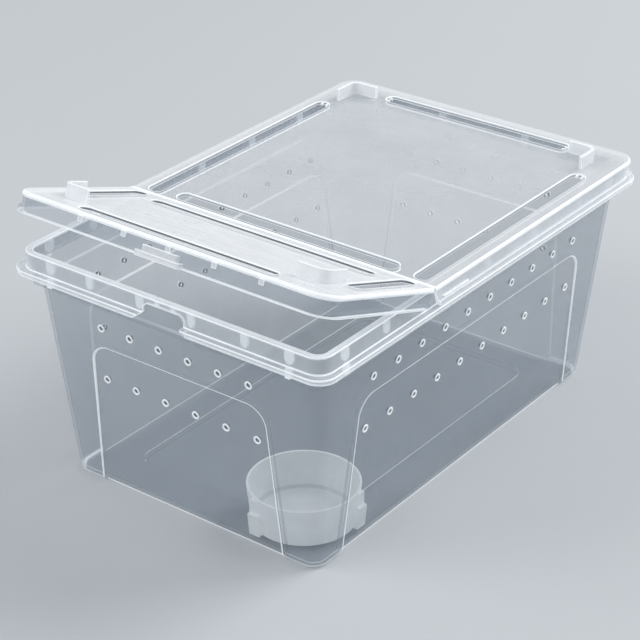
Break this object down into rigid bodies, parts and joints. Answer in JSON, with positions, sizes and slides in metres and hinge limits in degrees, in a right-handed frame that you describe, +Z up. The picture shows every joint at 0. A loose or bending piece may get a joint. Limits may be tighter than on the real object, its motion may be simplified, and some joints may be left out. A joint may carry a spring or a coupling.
{
  "type": "plastic pet keeper",
  "caption": "Clear plastic keeper tub with vent holes in tapered walls, a slotted lid with a living-hinge flap, stacking lugs and a round water dish inside.",
  "frame": {"origin": "on the table below the middle of the tub", "axes": "+Z up, +Y along the tub towards the back, the flap at the -Y end, +X across"},
  "size_m": [0.22, 0.32, 0.1814],
  "materials": {
    "tub_plastic": "clear, smooth, moulded",
    "lid_plastic": "clear with a slight haze, smooth, moulded",
    "dish_plastic": "milky, smooth, moulded"
  },
  "bodies": {
    "tub": {"tub": "tub_plastic", "rim": "tub_plastic"},
    "lid": {"lid": "lid_plastic", "hinge": "lid_plastic"},
    "flap": {"flap": "lid_plastic"},
    "dish": {"dish": "dish_plastic"}
  },
  "joints": [
    {"name": "lid_lift", "type": "slide", "parent": "tub", "child": "lid", "axis": [0, 0, 1], "range_m": [0, 0.04]},
    {"name": "flap_hinge", "type": "hinge", "parent": "lid", "child": "flap", "pos_m": [0, -0.0588, 0.1468], "axis": [-1, 0, 0], "range_deg": [-19.7, 145], "deforming": ["hinge"]},
    {"name": "dish_lift", "type": "slide", "parent": "tub", "child": "dish", "axis": [0, 0, 1], "range_m": [0, 0.1]}
  ]
}
